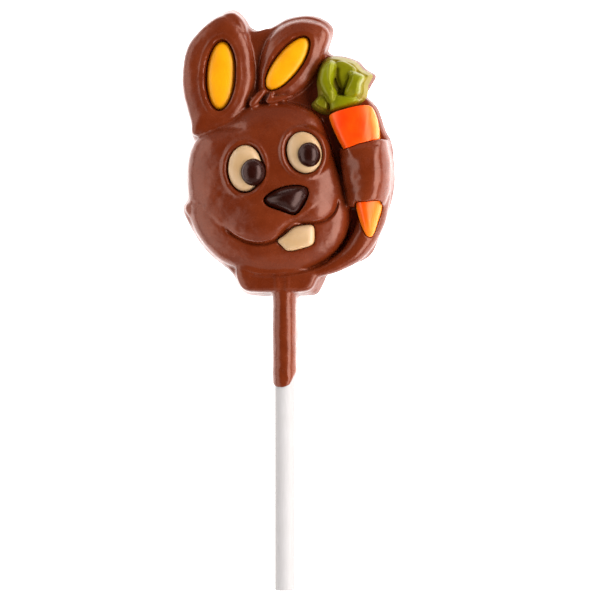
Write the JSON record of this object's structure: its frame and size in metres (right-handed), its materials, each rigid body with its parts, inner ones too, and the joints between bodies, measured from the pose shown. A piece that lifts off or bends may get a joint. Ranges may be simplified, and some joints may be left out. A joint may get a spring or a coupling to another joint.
{
  "type": "chocolate lollipop",
  "caption": "Moulded milk chocolate lollipop: a rabbit's head with upright ears holding a carrot, flat behind, on a white paper stick with a chocolate sleeve.",
  "frame": {"origin": "the centre of the box in X and Y, at the level of the flat back that the lollipop lies on", "axes": "+Y along the stick towards the ears, +Z out of the moulded face, +X towards the carrot"},
  "size_m": [0.0606, 0.1632, 0.0142],
  "materials": {
    "milk_chocolate": "glossy tempered milk chocolate",
    "dark_chocolate": "glossy dark chocolate",
    "cream_chocolate": "satin white chocolate",
    "yellow_chocolate": "satin white chocolate coloured yellow",
    "orange_chocolate": "glossy white chocolate coloured orange",
    "green_chocolate": "glossy white chocolate coloured green",
    "rolled_paper": "smooth white rolled paper"
  },
  "bodies": {
    "root": {"chocolate_body": "milk_chocolate", "ear_fill_left": "yellow_chocolate", "ear_fill_right": "yellow_chocolate", "eye_white_left": "cream_chocolate", "eye_white_right": "cream_chocolate", "pupil_left": "dark_chocolate", "pupil_right": "dark_chocolate", "nose": "dark_chocolate", "tooth": "cream_chocolate", "carrot_leaves": "green_chocolate", "carrot_top": "orange_chocolate", "carrot_tip": "orange_chocolate", "stick": "rolled_paper"}
  },
  "joints": []
}
